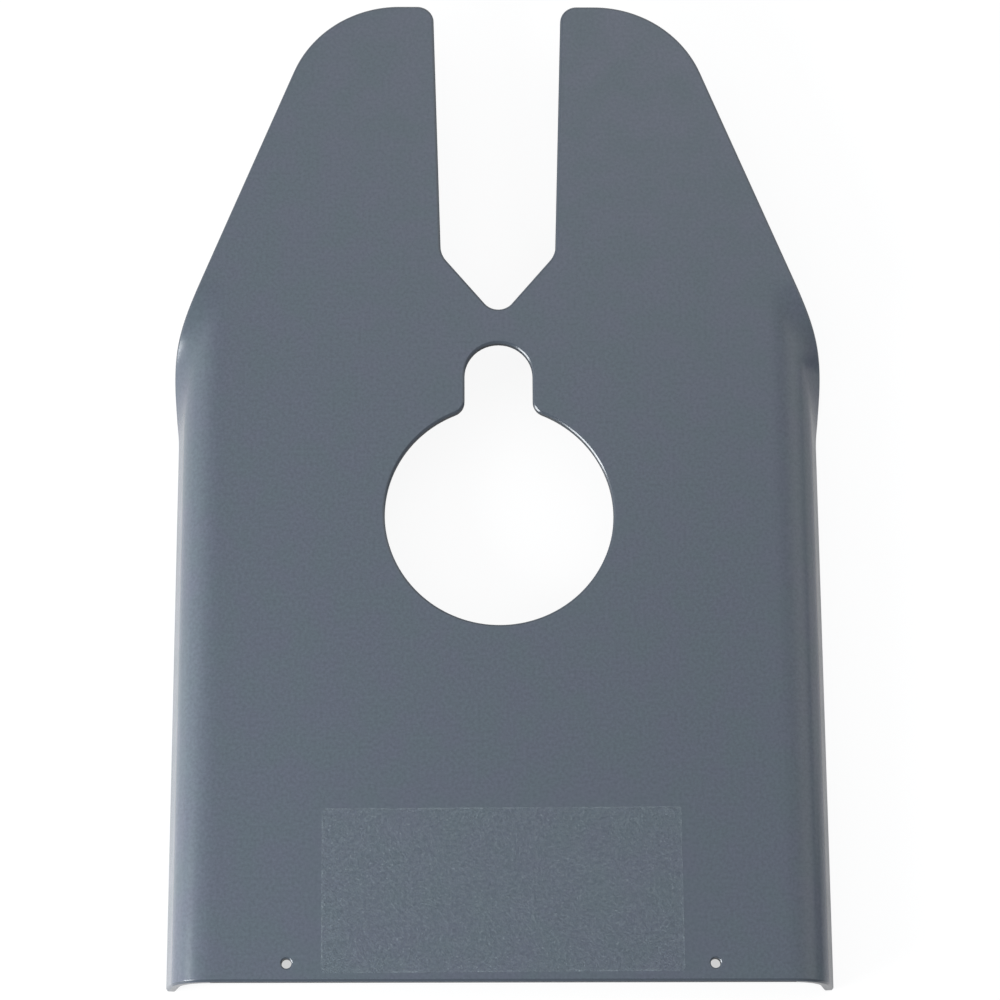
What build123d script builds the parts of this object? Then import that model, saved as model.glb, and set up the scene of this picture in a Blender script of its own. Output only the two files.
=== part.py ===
"""Outboard hydrofoil: a flat plate with two forward horns, a slot for the gearcase leg,
a keyhole opening for the trim tab, and both sides rolled down into leaning flanges.

Millimetres. +Y forward, +Z up, X to the right looking forward. The origin is the centre
of the round opening, on the top face, which bolts up under the anti-ventilation plate.
"""

import os
from math import asin, atan, cos, pi, radians, sin, sqrt, tan

from build123d import *

# The sheet
SHEET_THICKNESS = 5.0
EDGE_BREAK = 0.8

# The plate as a whole
OVERALL_LENGTH = 505.0
OVERALL_WIDTH = 322.4
OPENING_TO_AFT_EDGE = 231.4

# Forward horns. Their width is to where the leading edge would meet the front edge.
HORN_WIDTH = 56.8
HORN_TIP_RADIUS = 58.0
LEADING_EDGE_START = 149.2

# Slot for the gearcase leg, ending in a rounded V
SLOT_MOUTH_WIDTH = 65.8
SLOT_THROAT_WIDTH = 57.8
SLOT_MOUTH_RADIUS = 8.5
SLOT_THROAT_RADIUS = 12.0
V_HALF_ANGLE = 40.0
V_TIP_RADIUS = 9.0
V_TIP_TO_OPENING = 107.5

# Round opening for the trim tab, with its neck
OPENING_DIAMETER = 113.0
NECK_WIDTH = 34.0
NECK_TOP_TO_OPENING = 89.4
NECK_FILLET = 7.5

# Side flanges, rolled down short of square, so that they lean out
BEND_OUTER_RADIUS = 19.0
BEND_DEGREES = 77.0
FLANGE_DEPTH = 31.0
BEND_START = 123.5
BEND_RUN_OUT = 80.8
BLANK_CORNER_RADIUS = 20.6
BEND_RUN_IN = 6.0

# How finely the bent side is drawn
BEND_SECTIONS = 11
SKIN_STEPS = 16
JOIN_TOLERANCE = 0.005

# Two small holes near the aft edge
AFT_HOLE_DIAMETER = 4.8
AFT_HOLE_SPACING = 204.0
AFT_HOLE_INSET = 8.7

# Clear film on the top face, stuck a little off the middle and a little turned
FILM_LENGTH = 173.0
FILM_WIDTH = 79.5
FILM_THICKNESS = 0.15
FILM_CORNER_RADIUS = 1.0
FILM_INSET = 4.4
FILM_OFFSET = 0.7
FILM_TURN = 0.3

# Places that follow from the sizes above
AFT_Y = -OPENING_TO_AFT_EDGE
FRONT_Y = AFT_Y + OVERALL_LENGTH
FULL_BEND = radians(BEND_DEGREES)
BEND_INNER_RADIUS = BEND_OUTER_RADIUS - SHEET_THICKNESS
FLANGE_FALL = FLANGE_DEPTH - BEND_OUTER_RADIUS + BEND_INNER_RADIUS * cos(FULL_BEND)
FLANGE_STRAIGHT = FLANGE_FALL / sin(FULL_BEND)
BEND_X = (
    OVERALL_WIDTH / 2 - BEND_OUTER_RADIUS * sin(FULL_BEND) - FLANGE_STRAIGHT * cos(FULL_BEND)
)
RUN_START_Y = BEND_START - BEND_RUN_OUT - BEND_RUN_IN
SEAM_Y = BEND_START + BEND_RUN_IN
NEUTRAL_RADIUS = BEND_OUTER_RADIUS - SHEET_THICKNESS / 2
FLANGE_REACH = NEUTRAL_RADIUS * FULL_BEND + FLANGE_STRAIGHT
HORN_CORNER_X = SLOT_MOUTH_WIDTH / 2 + HORN_WIDTH
LEADING_SLANT = atan((BEND_X - HORN_CORNER_X) / (FRONT_Y - LEADING_EDGE_START))
SEAM_REACH = (LEADING_EDGE_START - SEAM_Y) * sin(LEADING_SLANT) * cos(LEADING_SLANT)
BLANK_CORNER_Y = (
    LEADING_EDGE_START
    - FLANGE_REACH / tan(LEADING_SLANT)
    - BLANK_CORNER_RADIUS * tan(LEADING_SLANT / 2)
)


def side_slant(y):
    """Angle between the blank's side edge and fore and aft: none along the flange, full forward."""
    share = (y - BLANK_CORNER_Y) / BLANK_CORNER_RADIUS
    return asin(min(max(share, 0), sin(LEADING_SLANT)))


def blank_reach(y):
    """How far the flat blank reaches outboard of the bend line at y."""
    slant = side_slant(y)
    past_corner = max(y - BLANK_CORNER_Y - BLANK_CORNER_RADIUS * sin(LEADING_SLANT), 0)
    return FLANGE_REACH - BLANK_CORNER_RADIUS * (1 - cos(slant)) - past_corner * tan(slant)


def bend_angle(y):
    """Angle of the bend at y: full along the flange, easing out to flat at its forward end."""
    share = min(max((BEND_START - y) / BEND_RUN_OUT, 0), 1)
    return FULL_BEND * (1 - cos(pi * share)) / 2


def bent_point(along, depth, y):
    """Where the bend carries a point of the blank, from its reach, depth below the skin and y."""
    turn = min(along / NEUTRAL_RADIUS, bend_angle(y))
    straight = along - NEUTRAL_RADIUS * turn
    radius = BEND_OUTER_RADIUS - depth
    x = BEND_X + radius * sin(turn) + straight * cos(turn)
    z = -BEND_OUTER_RADIUS + radius * cos(turn) - straight * sin(turn)
    return Vector(x, y, z)


def smooth_line(points, tangents):
    """Curve through points, with its knots evenly shared so that lofted curves match."""
    last = len(points) - 1
    return Edge.make_spline(points, tangents, parameters=[i / last for i in range(last + 1)])


def section_wire(root_y, turned, reach, edge_run):
    """Outline of a cut across the bent side, from the bend line to the lip with its edges broken.

    The cut starts at root_y, turned forward by the given angle, and edge_run is how much
    of its reach the broken edge takes.
    """

    def point(along, depth):
        return bent_point(along, depth, root_y + along * tan(turned))

    flat_reach = reach - edge_run
    at_root = point(edge_run, 0) - point(0, 0) if turned else Vector(1, 0, 0)
    at_lip = point(reach, 0) - point(flat_reach, 0)

    def skin(depth):
        curve = [point(flat_reach * i / SKIN_STEPS, depth) for i in range(SKIN_STEPS + 1)]
        return smooth_line(curve, [at_root, at_lip])

    top = skin(0)
    under = skin(SHEET_THICKNESS)
    lip = Line(point(reach, EDGE_BREAK), point(reach, SHEET_THICKNESS - EDGE_BREAK))
    top_break = Line(top @ 1, lip @ 0)
    under_break = Line(lip @ 1, under @ 1)
    root = Line(top @ 0, under @ 0)
    return Wire([top, top_break, lip, under_break, under, root])


def square_section(y):
    """Section cut square across the plate at y."""
    return section_wire(y, 0, blank_reach(y), EDGE_BREAK / cos(side_slant(y)))


def seam_section():
    """Section cut square to the leading edge, where the flange meets the flat plate."""
    return section_wire(SEAM_Y, LEADING_SLANT, SEAM_REACH, EDGE_BREAK * cos(LEADING_SLANT))


def flange():
    """Right-hand flange: a straight run from the aft edge, then the bend running out forward."""
    spacing = (BEND_START - RUN_START_Y) / (BEND_SECTIONS - 1)
    sections = [square_section(RUN_START_Y + spacing * i) for i in range(BEND_SECTIONS)]
    run = extrude(Face(sections[0]), RUN_START_Y - AFT_Y, dir=(0, -1, 0))
    return run + Solid.make_loft(sections + [seam_section()])


def plan_outline():
    """Flat part of the plate, seen from above, with the slot for the leg."""
    throat_x = SLOT_THROAT_WIDTH / 2
    v_slope = tan(radians(V_HALF_ANGLE))
    v_apex_y = V_TIP_TO_OPENING - V_TIP_RADIUS * (1 / sin(radians(V_HALF_ANGLE)) - 1)
    half = [
        (throat_x, v_apex_y + throat_x / v_slope, SLOT_THROAT_RADIUS),
        (SLOT_MOUTH_WIDTH / 2, FRONT_Y, SLOT_MOUTH_RADIUS),
        (HORN_CORNER_X, FRONT_Y, HORN_TIP_RADIUS),
        (BEND_X + SEAM_REACH, SEAM_Y + SEAM_REACH * tan(LEADING_SLANT), 0),
        (BEND_X, SEAM_Y, 0),
        (BEND_X, AFT_Y, 0),
    ]
    right = [(0, v_apex_y, V_TIP_RADIUS)] + half
    left = [(-x, y, r) for x, y, r in reversed(half)]
    corners = right + left
    outline = FilletPolyline(
        [(x, y) for x, y, r in corners], radius=[r for x, y, r in corners], close=True
    )
    return make_face(outline)


def keyhole():
    """Round opening with its neck, which has a round top and filleted feet."""
    neck_radius = NECK_WIDTH / 2
    neck_length = NECK_TOP_TO_OPENING - neck_radius
    neck = Pos(0, neck_length / 2) * Rectangle(NECK_WIDTH, neck_length)
    neck += Pos(0, neck_length) * Circle(neck_radius)
    opening = Circle(OPENING_DIAMETER / 2) + neck
    foot_y = sqrt((OPENING_DIAMETER / 2) ** 2 - neck_radius**2)
    feet = [v for v in opening.vertices() if abs(v.Y - foot_y) < 0.01]
    return fillet(feet, NECK_FILLET)


def aft_holes():
    """The two small round holes in line near the aft edge."""
    places = [(side * AFT_HOLE_SPACING / 2, AFT_Y + AFT_HOLE_INSET) for side in (-1, 1)]
    return Sketch() + [Pos(x, y) * Circle(AFT_HOLE_DIAMETER / 2) for x, y in places]


def flat_plate():
    """Flat part of the sheet, its edges broken except at the bends and the aft edge."""
    plate = extrude(plan_outline() - keyhole(), -SHEET_THICKNESS)
    broken = []
    for skin in plate.faces().filter_by(Axis.Z):
        for edge in skin.edges():
            middle = edge.center()
            if abs(middle.X) < BEND_X and middle.Y > AFT_Y + EDGE_BREAK:
                broken.append(edge)
    return chamfer(broken, EDGE_BREAK) - extrude(aft_holes(), -SHEET_THICKNESS)


def foil_plate():
    """The whole plate, cut and bent from one sheet, with its aft edge broken from end to end."""
    side = flange()
    plate = flat_plate().fuse(side, mirror(side, about=Plane.YZ), tol=JOIN_TOLERANCE).clean()
    aft_face = plate.faces().sort_by(Axis.Y)[0]
    return chamfer(aft_face.edges(), EDGE_BREAK)


def label_film():
    """Clear film stuck to the top face, set in from the aft edge."""
    outline = Rot(0, 0, FILM_TURN) * RectangleRounded(FILM_LENGTH, FILM_WIDTH, FILM_CORNER_RADIUS)
    centre_y = AFT_Y + FILM_INSET + FILM_WIDTH / 2
    return extrude(Pos(FILM_OFFSET, centre_y) * outline, FILM_THICKNESS)


def main():
    os.makedirs("parts", exist_ok=True)
    export_step(foil_plate(), "parts/foil_plate.step")
    export_step(label_film(), "parts/label_film.step")


main()
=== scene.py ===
from collections import namedtuple
from math import asin, atan, atan2, ceil, cos, pi, radians, sin, tan

import bpy
import numpy as np
from mathutils import Matrix, Vector
from mathutils.geometry import delaunay_2d_cdt


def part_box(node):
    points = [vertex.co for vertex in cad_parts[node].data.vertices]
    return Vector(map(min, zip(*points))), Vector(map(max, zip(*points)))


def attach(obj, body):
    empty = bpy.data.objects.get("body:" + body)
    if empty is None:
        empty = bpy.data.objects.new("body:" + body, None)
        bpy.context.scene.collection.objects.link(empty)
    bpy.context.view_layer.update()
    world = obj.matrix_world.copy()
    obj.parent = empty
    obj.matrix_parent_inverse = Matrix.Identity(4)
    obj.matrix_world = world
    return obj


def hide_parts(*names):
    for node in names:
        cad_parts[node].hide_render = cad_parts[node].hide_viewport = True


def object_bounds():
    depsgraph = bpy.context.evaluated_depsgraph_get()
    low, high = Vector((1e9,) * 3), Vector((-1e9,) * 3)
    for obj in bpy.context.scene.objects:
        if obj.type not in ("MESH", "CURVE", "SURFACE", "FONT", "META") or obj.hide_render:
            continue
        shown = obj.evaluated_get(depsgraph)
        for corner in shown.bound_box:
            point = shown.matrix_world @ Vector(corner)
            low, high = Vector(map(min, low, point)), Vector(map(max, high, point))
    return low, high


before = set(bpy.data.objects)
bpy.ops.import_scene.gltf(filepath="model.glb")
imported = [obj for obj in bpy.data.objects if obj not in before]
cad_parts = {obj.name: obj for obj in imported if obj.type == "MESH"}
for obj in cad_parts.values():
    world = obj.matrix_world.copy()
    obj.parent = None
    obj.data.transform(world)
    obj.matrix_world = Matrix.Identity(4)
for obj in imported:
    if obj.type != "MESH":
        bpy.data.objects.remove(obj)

cad_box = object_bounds()
scene = bpy.context.scene

# A millimetre in metres. The foil's sizes are in millimetres: X to starboard, Y forward and Z up,
# from the middle of the round opening on the top face. They are the CAD model's, but for the
# broken edges' widths, the bend's ease and the aft corners' radius.
MM = 0.001

# The sheet, and how wide its broken edges are
THICK = 5.0
OUTER_EDGE = 1.4
OPENING_EDGE = 1.3
AFT_HOLE_EDGE = 0.8

# The plate as a whole
LENGTH = 505.0
WIDTH = 322.4
AFT = -231.4
FRONT = AFT + LENGTH

# The flanges: each starts to bend a little before its bend line, and runs out to nothing forward
BEND_R = 19.0
BEND = radians(77.0)
BEND_EASE = 5.5
FLANGE = 31.0
BEND_START = 123.5
RUN_OUT = 80.8
STRAIGHT = (FLANGE - BEND_R + (BEND_R - THICK) * cos(BEND)) / sin(BEND)
BEND_X = WIDTH / 2 - BEND_R * sin(BEND) - STRAIGHT * cos(BEND)
NEUTRAL = BEND_R - THICK / 2
REACH = NEUTRAL * BEND + STRAIGHT

# The slot, from its mouth to its throat and V end, and the horns each side of it
MOUTH_X = 32.9
MOUTH_R = 8.5
THROAT_X = 28.9
THROAT_R = 12.0
V_HALF = radians(40.0)
V_R = 9.0
V_TIP = 107.5
HORN_WIDTH = 56.8
HORN_X = MOUTH_X + HORN_WIDTH
HORN_R = 58.0
LEAD_START = 149.2
SLANT = atan((BEND_X - HORN_X) / (FRONT - LEAD_START))
BLANK_CORNER_R = 20.6
AFT_CORNER_R = 1.6

# The keyhole opening and the two small aft holes
HOLE_R = 56.5
NECK_R = 17.0
NECK_TOP = 89.4
NECK_FILLET = 7.5
AFT_HOLE_R = 2.4
AFT_HOLE_X = 102.0
AFT_HOLE_INSET = 8.7

# The clear film
FILM_LENGTH = 173.0
FILM_WIDTH = 79.5
FILM_TURN = radians(0.3)

# How finely the skin is drawn
OUTLINE_STEP = 2.2
OUTLINE_TURN = radians(3.5)
CORNER_STEPS = 4
BORE_STEPS = 120
FILLET_STEPS = 8
NECK_SIDE_STEPS = 6
NECK_END_STEPS = 24
AFT_HOLE_STEPS = 28
EDGE_STEPS = 8
BEND_LINE_STEP = 0.05
AXIS_STEP = 0.02
GRID_BEND_STEPS = 30
GRID_GAP = 0.7
WELD = 1e-5

# How far the skin has turned across a broken edge, at shares of the way: soft, flat and soft again
EDGE_SHARES = (0, 0.28, 0.85, 1)
EDGE_TURNS = np.radians((0, 35, 46, 90))

# The skin's three coats, and the turns from which the last two start; the last two are darker with
# painted shade
COAT, CUT, BROKEN = range(3)
BROKEN_FROM = radians(20.0)
CUT_FROM = radians(60.0)

# One ring of points round a wall: how far in from the outline and down it lies, how far the skin
# has turned there from the near face, and which face that is, 1 for the top and -1 for the bottom
Ring = namedtuple("Ring", "inset depth turn side")


def bend_angle(y):
    """How far the flange is bent at y: the full bend aft, easing to nothing at BEND_START."""
    share = min(max((BEND_START - y) / RUN_OUT, 0.0), 1.0)
    return BEND * (1 - cos(pi * share)) / 2


def eased_line():
    """The sheet's middle line through the bend: reach, turn, way outboard and fall of each point.

    The turn grows gently over the first stretch, as it does in a pressed sheet.
    """
    step = BEND_LINE_STEP
    reach = np.arange(-BEND_EASE, REACH + step, step)
    eased = (reach + BEND_EASE) ** 2 / (4 * BEND_EASE * NEUTRAL)
    turn = np.where(reach < BEND_EASE, eased, reach / NEUTRAL)
    middle = (turn[1:] + turn[:-1]) / 2
    outboard = np.concatenate(([0.0], np.cumsum(np.cos(middle)))) * step - BEND_EASE
    fall = np.concatenate(([0.0], np.cumsum(np.sin(middle)))) * step
    return reach, turn, outboard, fall


MIDDLE_LINE = eased_line()


def bent(x, y, depth):
    """Place of a point of the flat blank, depth below its top skin, once the sides are bent."""
    side = 1.0 if x >= 0 else -1.0
    along = abs(x) - BEND_X
    if along <= -BEND_EASE:
        return Vector((x, y, -depth))
    reach, turns, outboard, fall = MIDDLE_LINE
    bent_to = min(along, float(np.interp(bend_angle(y), turns, reach)))
    turn = float(np.interp(bent_to, reach, turns))
    out = float(np.interp(bent_to, reach, outboard))
    down = float(np.interp(bent_to, reach, fall))
    straight = along - bent_to
    rise = THICK / 2 - depth
    bent_x = BEND_X + out + straight * cos(turn) + rise * sin(turn)
    bent_z = -THICK / 2 - down - straight * sin(turn) + rise * cos(turn)
    return Vector((side * bent_x, y, bent_z))


def skin_axes(x, y, depth):
    """Athwartships and fore-and-aft directions of the bent sheet at a point, and its normal."""
    h = AXIS_STEP
    tx = (bent(x + h, y, depth) - bent(x - h, y, depth)).normalized()
    ty = (bent(x, y + h, depth) - bent(x, y - h, depth)).normalized()
    return tx, ty, tx.cross(ty).normalized()


def arc(centre, radius, start, turn, steps):
    """Points of an arc, both ends included, with the direction away from its centre at each."""
    points = []
    for k in range(steps + 1):
        angle = start + turn * k / steps
        out = Vector((cos(angle), sin(angle)))
        points.append((Vector(centre) + out * radius, out))
    return points


def rounded_loop(corners):
    """Points round a closed outline of (x, y, radius) corners, with the outward direction at each.

    The outline runs anticlockwise, so its inside is on the left.
    """
    count = len(corners)
    starts, ends, arcs = [], [], []
    for i, (x, y, radius) in enumerate(corners):
        last_x, last_y, _ = corners[i - 1]
        next_x, next_y, _ = corners[(i + 1) % count]
        coming = Vector((x - last_x, y - last_y)).normalized()
        going = Vector((next_x - x, next_y - y)).normalized()
        cross = coming.x * going.y - coming.y * going.x
        turn = atan2(cross, coming.dot(going))
        cut = radius * tan(abs(turn) / 2)
        sign = 1.0 if cross > 0 else -1.0
        start = Vector((x, y)) - coming * cut
        centre = start + Vector((-coming.y, coming.x)) * radius * sign
        starts.append(start)
        ends.append(Vector((x, y)) + going * cut)
        arcs.append((centre, radius, sign, atan2(start.y - centre.y, start.x - centre.x), turn))
    points = []
    for i, (centre, radius, sign, angle, turn) in enumerate(arcs):
        steps = max(CORNER_STEPS, ceil(abs(turn) / OUTLINE_TURN),
                    ceil(abs(turn) * radius / OUTLINE_STEP))
        points += [(p, out * sign) for p, out in arc(centre, radius, angle, turn, steps)]
        end, start = ends[i], starts[(i + 1) % count]
        steps = max(1, ceil((start - end).length / OUTLINE_STEP))
        ahead = (start - end).normalized()
        out = Vector((ahead.y, -ahead.x))
        points += [(end.lerp(start, k / steps), out) for k in range(1, steps)]
    return points


def outline_loop():
    """Outer edge of the flat blank, with the slot, anticlockwise."""
    v_slope = tan(V_HALF)
    apex = V_TIP - V_R * (1 / sin(V_HALF) - 1)
    half = [
        (THROAT_X, apex + THROAT_X / v_slope, THROAT_R),
        (MOUTH_X, FRONT, MOUTH_R),
        (HORN_X, FRONT, HORN_R),
        (BEND_X + REACH, LEAD_START - REACH / tan(SLANT), BLANK_CORNER_R),
        (BEND_X + REACH, AFT, AFT_CORNER_R),
    ]
    right = [(0.0, apex, V_R)] + half
    left = [(-x, y, r) for x, y, r in reversed(half)]
    return rounded_loop([(x, y, r) for x, y, r in reversed(right + left)])


def keyhole_loop():
    """Round opening with its neck, clockwise, with the direction into the hole at each point."""
    foot = asin((NECK_R + NECK_FILLET) / (HOLE_R + NECK_FILLET))
    fillet_x = NECK_R + NECK_FILLET
    fillet_y = (HOLE_R + NECK_FILLET) * cos(foot)
    fillet_turn = pi / 2 - foot
    rise = NECK_TOP - NECK_R - fillet_y
    heights = [fillet_y + rise * k / NECK_SIDE_STEPS for k in range(1, NECK_SIDE_STEPS)]

    bore = arc((0, 0), HOLE_R, pi / 2 + foot, 2 * pi - 2 * foot, BORE_STEPS)
    right = arc((fillet_x, fillet_y), NECK_FILLET, pi + pi / 2 - foot, -fillet_turn, FILLET_STEPS)
    end = arc((0, NECK_TOP - NECK_R), NECK_R, 0.0, pi, NECK_END_STEPS)
    left = arc((-fillet_x, fillet_y), NECK_FILLET, 0.0, -fillet_turn, FILLET_STEPS)

    loop = [(p, -out) for p, out in bore] + right[1:]
    loop += [(Vector((NECK_R, y)), Vector((-1, 0))) for y in heights]
    loop += [(p, -out) for p, out in end]
    loop += [(Vector((-NECK_R, y)), Vector((1, 0))) for y in reversed(heights)]
    loop += left[:-1]
    return list(reversed(loop))


def circle_loop(x, y, radius):
    """A small hole, clockwise, with the direction into it at each point."""
    points = arc((x, y), radius, 0.0, -2 * pi, AFT_HOLE_STEPS)
    return [(p, -out) for p, out in points[:-1]]


def wall_rings(edge):
    """The rings down a wall whose two edges are broken and their corners softened by the coat."""
    turns = np.interp(np.linspace(0, 1, EDGE_STEPS + 1), EDGE_SHARES, EDGE_TURNS)
    middle = (turns[1:] + turns[:-1]) / 2
    across = np.concatenate(([0.0], np.cumsum(np.cos(middle))))
    down = np.concatenate(([0.0], np.cumsum(np.sin(middle))))
    size = edge / across[-1]
    over = [Ring(edge - a * size, d * size, turn, 1) for a, d, turn in zip(across, down, turns)]
    under = [Ring(ring.inset, THICK - ring.depth, ring.turn, -1) for ring in reversed(over)]
    return over + [Ring(0.0, THICK / 2, pi / 2, 1)] + under


def wall_coat(first, second, x):
    """The coat of a wall between two rings: CUT on its upright part, but not along a flange."""
    # CUT's darker tone is painted shade; the flanges' end walls get no CUT, so none of it.
    if min(first.turn, second.turn) > CUT_FROM and abs(x) < BEND_X:
        return CUT
    return BROKEN if max(first.turn, second.turn) > BROKEN_FROM else COAT


class Skin:
    """One closed skin: its points with their normals, and its faces with their coats."""

    def __init__(self):
        self.points, self.normals, self.faces, self.coats = [], [], [], []

    def add_wall(self, loop, edge):
        """The wall round one outline. Gives the first point of its top and of its bottom ring."""
        rings = wall_rings(edge)
        base, count = len(self.points), len(loop)
        for ring in rings:
            for p, out in loop:
                q = p - out * ring.inset
                tx, ty, up = skin_axes(q.x, q.y, ring.depth)
                outward = (tx * out.x + ty * out.y).normalized()
                normal = up * ring.side * cos(ring.turn) + outward * sin(ring.turn)
                self.points.append(bent(q.x, q.y, ring.depth))
                self.normals.append(normal.normalized())
        for k, (first, second) in enumerate(zip(rings, rings[1:])):
            a, b = base + k * count, base + (k + 1) * count
            for i in range(count):
                j = (i + 1) % count
                self.faces.append((a + i, b + i, b + j, a + j))
                self.coats.append(wall_coat(first, second, loop[i][0].x))
        return base, base + (len(rings) - 1) * count

    def add_face(self, bases, rings, grid, depth, side):
        """The top or the bottom face, between the walls' rings that start at the points bases."""
        flat, index, edges = [], [], []
        for base, ring in zip(bases, rings):
            start = len(flat)
            for i, p in enumerate(ring):
                flat.append(p)
                index.append(base + i)
                edges.append((start + i, start + (i + 1) % len(ring)))
        for p in grid:
            flat.append(p)
            index.append(len(self.points))
            self.points.append(bent(p.x, p.y, depth))
            self.normals.append(skin_axes(p.x, p.y, depth)[2] * side)
        places, _, triangles, sources, _, _ = delaunay_2d_cdt(flat, edges, [], 1, WELD)
        if len(places) != len(flat):
            raise RuntimeError("the skin's outline crosses itself")
        corners = [[places[v] for v in tri] for tri in triangles]
        middles = np.array([sum(three, Vector((0, 0))) / 3 for three in corners])
        for tri, (a, b, c), kept in zip(triangles, corners, inside(middles, rings)):
            if not kept:
                continue
            ids = [index[sources[v][0]] for v in tri]
            if ((b - a).x * (c - a).y - (b - a).y * (c - a).x) * side < 0:
                ids.reverse()
            self.faces.append(tuple(ids))
            self.coats.append(COAT)


def make_plate():
    """The plate as one closed skin: two faces, and a wall with broken edges at each outline."""
    aft_hole_y = AFT + AFT_HOLE_INSET
    walls = [
        (outline_loop(), OUTER_EDGE),
        (keyhole_loop(), OPENING_EDGE),
        (circle_loop(-AFT_HOLE_X, aft_hole_y, AFT_HOLE_R), AFT_HOLE_EDGE),
        (circle_loop(AFT_HOLE_X, aft_hole_y, AFT_HOLE_R), AFT_HOLE_EDGE),
    ]
    skin = Skin()
    tops, bottoms = zip(*[skin.add_wall(loop, edge) for loop, edge in walls])
    rings = [[p - out * edge for p, out in loop] for loop, edge in walls]
    grid = grid_points([[p for p, _ in loop] for loop, _ in walls])
    skin.add_face(tops, rings, grid, 0.0, 1)
    skin.add_face(bottoms, rings, grid, THICK, -1)

    mesh = bpy.data.meshes.new("foil_skin")
    mesh.from_pydata([point * MM for point in skin.points], [], skin.faces)
    for poly, coat in zip(mesh.polygons, skin.coats):
        poly.use_smooth = True
        poly.material_index = coat
    mesh.normals_split_custom_set_from_vertices(skin.normals)
    obj = bpy.data.objects.new("foil_skin", mesh)
    scene.collection.objects.link(obj)
    return obj


def spaced(start, step, count):
    """Count numbers from start, a step apart."""
    return [start + step * k for k in range(count)]


def grid_points(rings):
    """Points inside the blank's skin, close together where it bends and where the bend runs out."""
    over_bend = [BEND_X + REACH * k / GRID_BEND_STEPS for k in range(GRID_BEND_STEPS + 1)]
    beside_bend = spaced(BEND_X - 1.0, -1.1, 6)
    over_flat = spaced(BEND_X - 13.0, -12.0, 11)
    half = over_bend + beside_bend + over_flat
    xs = sorted(set([round(x, 4) for x in half] + [round(-x, 4) for x in half]))

    run_out_from = BEND_START - RUN_OUT - 2
    aft = [y for y in spaced(AFT + 2.0, 7.9, 34) if y < run_out_from]
    run_out = spaced(run_out_from, 2.0, 45)
    forward = spaced(BEND_START + 10, 9.0, 17)
    ys = aft + run_out + forward

    points = np.array([(x, y) for x in xs for y in ys])
    points = points[inside(points, rings)]
    points = points[clear_of_edges(points, rings, OUTER_EDGE + GRID_GAP)]
    return [Vector(p) for p in points]


def inside(points, rings):
    """Which points lie in the sheet: inside the outline's ring and outside the holes'."""
    odd = np.zeros(len(points), bool)
    x, y = points[:, 0], points[:, 1]
    for ring in map(np.array, rings):
        for (x0, y0), (x1, y1) in zip(ring, np.roll(ring, -1, axis=0)):
            if y0 == y1:
                continue
            crosses = (y0 > y) != (y1 > y)
            odd ^= crosses & (x < x0 + (y - y0) / (y1 - y0) * (x1 - x0))
    return odd


def clear_of_edges(points, rings, gap):
    """Which points are at least gap from every edge."""
    clear = np.ones(len(points), bool)
    for ring in map(np.array, rings):
        for start, end in zip(ring, np.roll(ring, -1, axis=0)):
            run = end - start
            share = np.clip((points - start) @ run / max(run @ run, 1e-12), 0, 1)
            clear &= np.hypot(*(points - start - share[:, None] * run).T) >= gap
    return clear


def node(tree, kind, values=(), links=(), **settings):
    """A node with its own settings, its input values and the outputs that feed it."""
    made = tree.nodes.new(kind)
    for name, value in settings.items():
        setattr(made, name, value)
    for socket, value in values:
        made.inputs[socket].default_value = value
    for socket, output in links:
        tree.links.new(output, made.inputs[socket])
    return made


def noise(tree, place, scale, detail=2.0, roughness=0.5):
    """Noise between 0 and 1, scale in waves a metre."""
    values = [("Scale", scale), ("Detail", detail), ("Roughness", roughness)]
    return node(tree, "ShaderNodeTexNoise", values, [("Vector", place)]).outputs["Fac"]


def ramp(tree, source, low, high, to_low=0.0, to_high=1.0):
    """Source mapped from low and high to two new ends, and held beyond them."""
    values = [("From Min", low), ("From Max", high), ("To Min", to_low), ("To Max", to_high)]
    return node(tree, "ShaderNodeMapRange", values, [("Value", source)]).outputs[0]


def calc(tree, operation, first, second=0.0):
    """A math node on two inputs, each an output or a number."""
    made = node(tree, "ShaderNodeMath", operation=operation)
    for socket, source in enumerate((first, second)):
        if isinstance(source, (int, float)):
            made.inputs[socket].default_value = source
        else:
            tree.links.new(source, made.inputs[socket])
    return made.outputs[0]


def band(tree, source, rise, fall):
    """1 between two ranges of source, from 0 over the first and back to 0 over the second."""
    return calc(tree, "MULTIPLY", ramp(tree, source, *rise), ramp(tree, source, *fall, 1.0, 0.0))


def blend(tree, share, first, second):
    """Colour mixed from two, each an output or a plain colour."""
    made = node(tree, "ShaderNodeMix", data_type="RGBA")
    tree.links.new(share, made.inputs["Factor"])
    for socket, source in ((6, first), (7, second)):
        if isinstance(source, tuple):
            made.inputs[socket].default_value = source
        else:
            tree.links.new(source, made.inputs[socket])
    return made.outputs[2]


def either(tree, share, first, second):
    """The first shader where share is 0, the second where it is 1."""
    links = [(0, share), (1, first), (2, second)]
    return node(tree, "ShaderNodeMixShader", links=links).outputs[0]


def axes(tree, place):
    """The three coordinates of a place."""
    return node(tree, "ShaderNodeSeparateXYZ", links=[(0, place)]).outputs


def random_cells(tree, place, scale):
    """Random cells, scale of them to a metre: the distance from one's middle, and its chance."""
    cells = node(tree, "ShaderNodeTexVoronoi", [("Scale", scale)], [("Vector", place)])
    red = node(tree, "ShaderNodeSeparateColor", links=[(0, cells.outputs["Color"])]).outputs[0]
    return cells.outputs["Distance"], red


def specks(tree, place, scale, radius, share):
    """Round specks of a radius in metres, in a share of the cells, of which scale go to a metre."""
    distance, chance = random_cells(tree, place, scale)
    spot = ramp(tree, distance, radius * scale * SPECK_CORE, radius * scale, 1.0, 0.0)
    return calc(tree, "MULTIPLY", spot, calc(tree, "LESS_THAN", chance, share))


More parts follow.
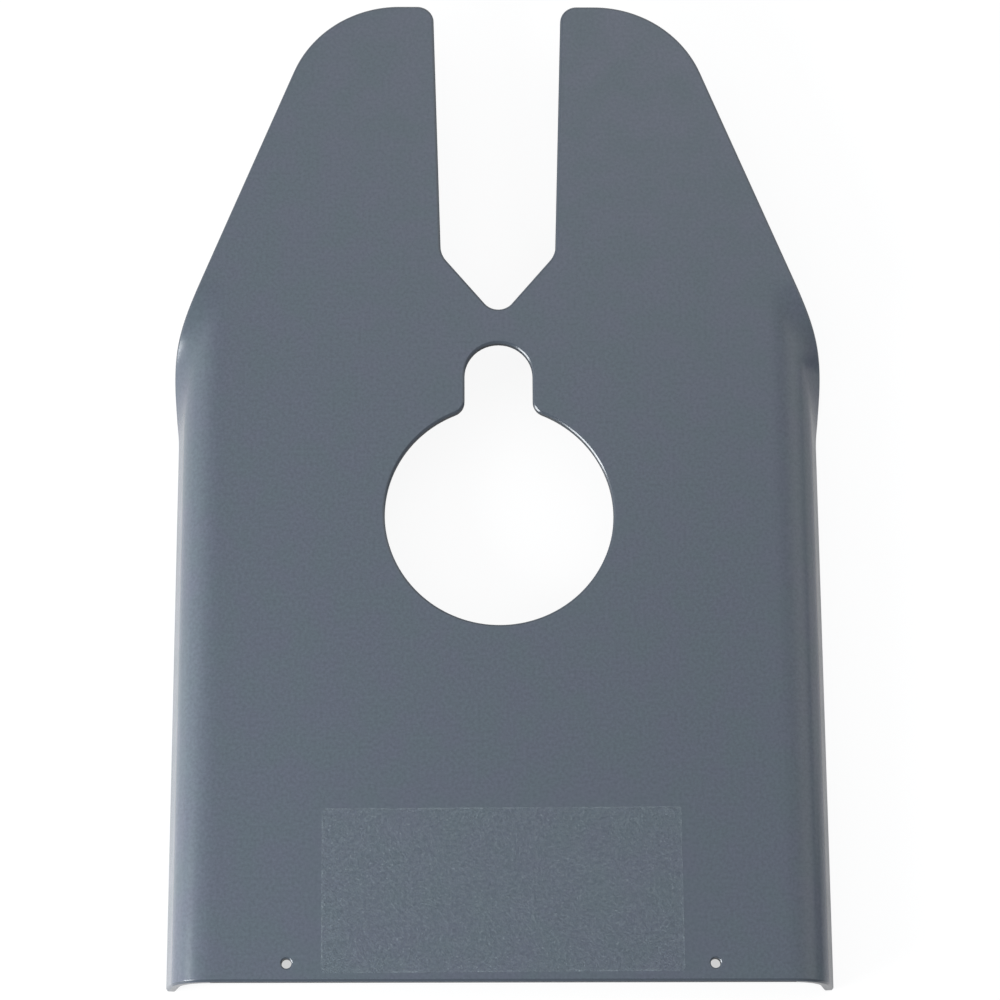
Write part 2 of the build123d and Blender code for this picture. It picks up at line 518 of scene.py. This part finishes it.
def new_material(name):
    """A fresh material, its tree, its shader and the object coordinates."""
    material = bpy.data.materials.new(name)
    material.use_nodes = True
    tree = material.node_tree
    place = tree.nodes.new("ShaderNodeTexCoord").outputs["Object"]
    return material, tree, tree.nodes["Principled BSDF"], place


# Tones of the coats and the film, linear. A coat with two is mottled between them.
FACE_TONES = (0.109, 0.124, 0.160, 1), (0.102, 0.128, 0.152, 1)
# The broken edges' tones are the face coat's, darkened with painted shade.
BROKEN_SHADED_TONES = (0.058, 0.073, 0.097, 1), (0.054, 0.070, 0.091, 1)
# The cut walls' tones are darkened with painted shade.
CUT_SHADED_TONES = (0.036, 0.042, 0.050, 1), (0.058, 0.066, 0.076, 1)
GRAIN_TONE = (0.048, 0.058, 0.074, 1)
DUST_TONE = (0.75, 0.76, 0.76, 1)
NICK_TONE = (0.02, 0.022, 0.026, 1)
FILM_TONE = (0.58, 0.68, 0.73, 1)

# Gloss as specular level, and roughness between the two ends of a coat's mottling
FACE_GLOSS = 0.5
BROKEN_GLOSS = 0.78
CUT_GLOSS = 0.25
POWDER_ROUGHNESS = 0.2, 0.24
CUT_ROUGHNESS = 0.42, 0.58
FILM_ROUGHNESS = 0.28

# Textures of the coats: waves a metre, and the levels of the noise between which each comes in. The
# grain takes at most a share of the tone, and the peel's depth is in metres.
MOTTLE_WAVES = 55.0
MOTTLE_LEVELS = 0.35, 0.65
GRAIN_WAVES = 640.0
GRAIN_LEVELS = 0.32, 0.68
GRAIN_SHARE = 0.36
PEEL_WAVES = 380.0
PEEL_STRENGTH = 0.8
PEEL_DEPTH = 0.00001
DRAG_WAVES = 700.0
DRAG_LEVELS = 0.35, 0.7

# Specks: cells a metre, radius in metres, share of the cells that hold one. Each fades over the
# outer part of its radius. The nicks are drawn out upwards, and give out over these heights, in
# metres, above the flanges' lips.
DUST = 16.0, 0.0005, 0.16
NICKS = 40.0, 0.0006, 0.3
SPECK_CORE = 0.6
NICK_SCALE = (1.0, 1.0, 0.2)
LIP = -0.024, -0.021

# The film's grain and sparkle: cells a metre, the chances between which a cell has each, and the
# most that each adds to the alpha
FILM_CELLS = 2100.0
GRAIN_CHANCES = 0.35, 1.0
GRAIN_ALPHA = 0.135
SPARKLE_CHANCES = 0.985, 0.99
SPARKLE_ALPHA = 0.12

# The film's border: waves a metre, the levels between which it comes in, its least share, where it
# fades, in metres from the cut edge, and the most that it adds to the alpha
BORDER_WAVES = 320.0
BORDER_LEVELS = 0.45, 0.6
BORDER_LEAST = 0.1
BORDER_FADE = 0.0002, 0.0011
BORDER_ALPHA = 0.13


def powder_coat(name, tones, gloss):
    """Satin blue-grey coat: mottling, grain, orange peel, dust specks, and nicks near the lips."""
    material, tree, shader, place = new_material(name)
    shader.inputs["Specular IOR Level"].default_value = gloss
    cloud = ramp(tree, noise(tree, place, MOTTLE_WAVES), *MOTTLE_LEVELS)
    base = blend(tree, cloud, *tones)
    waves = noise(tree, place, GRAIN_WAVES, detail=3.0, roughness=0.6)
    base = blend(tree, ramp(tree, waves, *GRAIN_LEVELS, 0.0, GRAIN_SHARE), base, GRAIN_TONE)
    base = blend(tree, specks(tree, place, *DUST), base, DUST_TONE)
    upright = node(tree, "ShaderNodeMapping", [("Scale", NICK_SCALE)], [("Vector", place)])
    near_lip = ramp(tree, axes(tree, place)[2], *LIP, 1.0, 0.0)
    nicks = calc(tree, "MULTIPLY", specks(tree, upright.outputs[0], *NICKS), near_lip)
    base = blend(tree, nicks, base, NICK_TONE)
    tree.links.new(base, shader.inputs["Base Color"])
    tree.links.new(ramp(tree, cloud, 0.0, 1.0, *POWDER_ROUGHNESS), shader.inputs["Roughness"])
    peel = node(tree, "ShaderNodeBump", [("Strength", PEEL_STRENGTH), ("Distance", PEEL_DEPTH)],
                [("Height", noise(tree, place, PEEL_WAVES, detail=1.0))])
    tree.links.new(peel.outputs[0], shader.inputs["Normal"])
    return material


def shaded_cut_coat():
    """The thin, dull coat on the cut walls, with drag marks, its dark tone painted shade."""
    material, tree, shader, place = new_material("shaded_cut_coat")
    shader.inputs["Specular IOR Level"].default_value = CUT_GLOSS
    marks = ramp(tree, noise(tree, place, DRAG_WAVES, detail=3.0), *DRAG_LEVELS)
    tree.links.new(blend(tree, marks, *CUT_SHADED_TONES), shader.inputs["Base Color"])
    tree.links.new(ramp(tree, marks, 0.0, 1.0, *CUT_ROUGHNESS), shader.inputs["Roughness"])
    return material


def clear_film():
    """Clear film: a milky lift with a fine grain and sparkle, brighter along its cut border."""
    material, tree, shader, place = new_material("clear_film")
    shader.inputs["Base Color"].default_value = FILM_TONE
    shader.inputs["Roughness"].default_value = FILM_ROUGHNESS
    low, high = (Vector(corner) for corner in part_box("label_film"))
    values = [("Location", (low + high) / 2), ("Rotation", (0, 0, FILM_TURN))]
    own = node(tree, "ShaderNodeMapping", values, [("Vector", place)], vector_type="TEXTURE")
    own_axes = axes(tree, own.outputs[0])
    inset = []
    for axis, size in enumerate((FILM_LENGTH, FILM_WIDTH)):
        offset = calc(tree, "ABSOLUTE", own_axes[axis])
        inset.append(calc(tree, "SUBTRACT", size / 2 * MM, offset))
    border = ramp(tree, calc(tree, "MINIMUM", *inset), *BORDER_FADE, 1.0, 0.0)
    _, chance = random_cells(tree, place, FILM_CELLS)
    grain = ramp(tree, chance, *GRAIN_CHANCES, 0.0, GRAIN_ALPHA)
    sparkle = ramp(tree, chance, *SPARKLE_CHANCES, 0.0, SPARKLE_ALPHA)
    broken = ramp(tree, noise(tree, place, BORDER_WAVES), *BORDER_LEVELS, BORDER_LEAST, 1.0)
    rim = calc(tree, "MULTIPLY", calc(tree, "MULTIPLY", border, broken), BORDER_ALPHA)
    alpha = calc(tree, "ADD", calc(tree, "ADD", grain, sparkle), rim)
    tree.links.new(alpha, shader.inputs["Alpha"])
    return material


# The coats go on in the order of COAT, CUT and BROKEN.
plate = make_plate()
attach(plate, "root")
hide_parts("foil_plate")
plate.data.materials.append(powder_coat("powder_coat", FACE_TONES, FACE_GLOSS))
plate.data.materials.append(shaded_cut_coat())
# The broken edges: the same coat in darker tones, their darkness painted shade.
plate.data.materials.append(powder_coat("broken_edge_shaded_coat", BROKEN_SHADED_TONES, BROKEN_GLOSS))

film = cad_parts["label_film"]
film.data.materials.clear()
film.data.materials.append(clear_film())

# The floor: its side, its plain white to the lamps, and its white, glow and tint in the plate's
# gloss and to the camera
FLOOR_SIDE = 8.0
FLOOR_WHITE = (0.8, 0.8, 0.8, 1)
GLOSS_WHITE, GLOSS_GLOW, GLOSS_TINT = 0.93, 0.13, (1.0, 0.965, 0.94)
SEEN_WHITE, SEEN_GLOW, SEEN_TINT = 0.14, 0.9, (1, 1, 1)

# Where a painted shade takes most of the floor from the gloss: to starboard of GLOSS_SIDE and aft
# of
# GLOSS_END, in metres, and the share that it takes there
GLOSS_SIDE = 0.185, 0.26
GLOSS_END = -0.15, -0.09
GLOSS_PAINTED_SHADE = 0.8

# Painted shade on the camera's floor under the plate's sides: the distances from the middle and
# the places fore and aft, in metres, over which it comes in and goes, and the share that is left
SHADE_SIDES = (0.075, 0.095), (0.125, 0.145)
SHADE_ENDS = (-0.2265, -0.2225), (0.0, 0.06)
SHADE = 0.66


def stage_material():
    """Floor: matt white to the lamps, another to the gloss, and to the camera a pale backdrop.

    The backdrop keeps the plate's shadow and has a painted shade under the plate's sides, and from
    below the camera sees through it. The gloss sees a painted shade to starboard and aft.
    """
    material = bpy.data.materials.new("floor")
    material.use_nodes = True
    tree = material.node_tree
    tree.nodes.clear()

    def lit(white, glow, tint, share):
        """A matt floor that glows, only a share of it left where a painted shade falls."""
        colour = [white * part for part in tint] + [1]
        matt = node(tree, "ShaderNodeBsdfDiffuse", [("Color", colour)])
        light = node(tree, "ShaderNodeEmission", [("Strength", glow), ("Color", tint + (1,))])
        links = [(0, matt.outputs[0]), (1, light.outputs[0])]
        both = node(tree, "ShaderNodeAddShader", links=links)
        dark = node(tree, "ShaderNodeEmission", [("Strength", 0.0)])
        return either(tree, share, dark.outputs[0], both.outputs[0])

    x, y, _ = axes(tree, tree.nodes.new("ShaderNodeTexCoord").outputs["Object"])
    # Painted shade in the floor as the gloss sees it, to starboard and aft
    gloss_painted_shade_aft = ramp(tree, y, *GLOSS_END, GLOSS_PAINTED_SHADE, 0.0)
    gloss_painted_shade = calc(tree, "MULTIPLY", ramp(tree, x, *GLOSS_SIDE), gloss_painted_shade_aft)
    left = calc(tree, "SUBTRACT", 1.0, gloss_painted_shade)
    # Painted shade under the plate's sides, for the camera
    sideways = calc(tree, "ABSOLUTE", x)
    under = calc(tree, "MULTIPLY", band(tree, sideways, *SHADE_SIDES), band(tree, y, *SHADE_ENDS))
    painted_shade = ramp(tree, under, 0.0, 1.0, 1.0, SHADE)

    path = tree.nodes.new("ShaderNodeLightPath").outputs
    mirrored = calc(tree, "MAXIMUM", path["Is Glossy Ray"], path["Is Transmission Ray"])
    plain = node(tree, "ShaderNodeBsdfDiffuse", [("Color", FLOOR_WHITE)]).outputs[0]
    others = either(tree, mirrored, plain, lit(GLOSS_WHITE, GLOSS_GLOW, GLOSS_TINT, left))
    from_below = tree.nodes.new("ShaderNodeNewGeometry").outputs["Backfacing"]
    clear = tree.nodes.new("ShaderNodeBsdfTransparent").outputs[0]
    backdrop = either(tree, from_below, lit(SEEN_WHITE, SEEN_GLOW, SEEN_TINT, painted_shade), clear)
    seen = either(tree, path["Is Camera Ray"], others, backdrop)
    node(tree, "ShaderNodeOutputMaterial", links=[(0, seen)])
    return material


# Floor at the flanges' feet.
floor_z = cad_box[0][2]
bpy.ops.mesh.primitive_plane_add(size=FLOOR_SIDE, location=(0, 0, floor_z))
floor = bpy.context.object
floor.name = "floor"
floor.data.materials.append(stage_material())


# Soft light of the room. Each glow: compass bearing from the bow and height in degrees, sharpness
# and level. The gap: its direction, the closeness to it over which it comes in, and what it leaves.
AMBIENT = 0.465
ROOM_COLOUR = (0.97, 0.995, 1.02, 1)
GLOWS = [
    (270.0, 5.0, 10.0, 0.72),
    (300.0, 30.0, 10.0, 0.51),
    (0.0, 30.0, 10.0, 0.43),
    (60.0, 30.0, 10.0, 1.2),
    (9.0, 62.0, 110.0, 1.5),
]
GAP = (0.9988, -0.05, 0.0)
GAP_CLOSENESS = 0.93, 0.975
GAP_LEVEL = 0.35
BACKDROP_LEVEL = 0.98


def studio_world():
    """Even room with broad glows and a dark gap low to starboard, plain white to the camera."""
    world = bpy.data.worlds.new("studio")
    world.use_nodes = True
    tree = world.node_tree
    towards = tree.nodes.new("ShaderNodeTexCoord").outputs["Generated"]

    def closeness(direction):
        """Cosine of the angle between where the ray looks and a direction."""
        return node(tree, "ShaderNodeVectorMath", [(1, direction)], [(0, towards)],
                    operation="DOT_PRODUCT").outputs["Value"]

    level = AMBIENT
    for bearing, height, sharpness, strength in GLOWS:
        turn, rise = radians(bearing), radians(height)
        facing = closeness((sin(turn) * cos(rise), cos(turn) * cos(rise), sin(rise)))
        glow = calc(tree, "POWER", calc(tree, "MAXIMUM", facing, 0.0), sharpness)
        level = calc(tree, "ADD", calc(tree, "MULTIPLY", glow, strength), level)
    kept = ramp(tree, closeness(GAP), *GAP_CLOSENESS, 1.0, GAP_LEVEL)
    level = calc(tree, "MULTIPLY", level, kept)
    room = node(tree, "ShaderNodeBackground", [("Color", ROOM_COLOUR)], [("Strength", level)])
    backdrop = tree.nodes["Background"]
    backdrop.inputs["Color"].default_value = (1, 1, 1, 1)
    backdrop.inputs["Strength"].default_value = BACKDROP_LEVEL
    seen = tree.nodes.new("ShaderNodeLightPath").outputs["Is Camera Ray"]
    mixed = either(tree, seen, room.outputs[0], backdrop.outputs[0])
    tree.links.new(mixed, tree.nodes["World Output"].inputs["Surface"])
    return world


scene.world = studio_world()

# One softbox to port and aft: place and size in metres, power in watts
KEY_PLACE = (-1.04, -0.47, 0.41)
KEY_SIZE = (0.73, 0.53)
KEY_POWER = 17.1
KEY_COLOUR = (0.95, 0.98, 1.0)

key_data = bpy.data.lights.new("key", "AREA")
key_data.shape = "RECTANGLE"
key_data.size, key_data.size_y = KEY_SIZE
key_data.energy = KEY_POWER
key_data.color = KEY_COLOUR
key = bpy.data.objects.new("key", key_data)
key.location = KEY_PLACE
key.rotation_euler = (Vector((0, 0, 0)) - Vector(KEY_PLACE)).to_track_quat("-Z", "Y").to_euler()
scene.collection.objects.link(key)

# Camera: above the plate and a little aft of it, looking down, a little forward and to starboard.
# Its focal length was measured in pixels of a picture 1000 wide. Places are in metres.
FOCAL_PIXELS = 3476.17
PICTURE_PIXELS = 1000.0
SENSOR = 36.0
FAR_CLIP = 20.0
CAMERA_PLACE = (-0.02957, -0.49339, 1.64245)
TILT, PAN, ROLL = radians(16.9465), radians(1.0000), radians(0.0325)

cam_data = bpy.data.cameras.new("camera")
cam_data.sensor_width = SENSOR
cam_data.lens = FOCAL_PIXELS / PICTURE_PIXELS * SENSOR
cam_data.clip_end = FAR_CLIP
camera = bpy.data.objects.new("camera", cam_data)
scene.collection.objects.link(camera)
camera.location = CAMERA_PLACE
ahead = Vector((0, sin(TILT), -cos(TILT)))
up = Vector((0, cos(TILT), sin(TILT)))
ahead = ahead * cos(PAN) + ahead.cross(up) * sin(PAN)
up = up * cos(ROLL) - ahead.cross(up) * sin(ROLL)
camera.rotation_euler = Matrix((ahead.cross(up), up, -ahead)).transposed().to_euler()
scene.camera = camera

scene.view_settings.view_transform = "Standard"
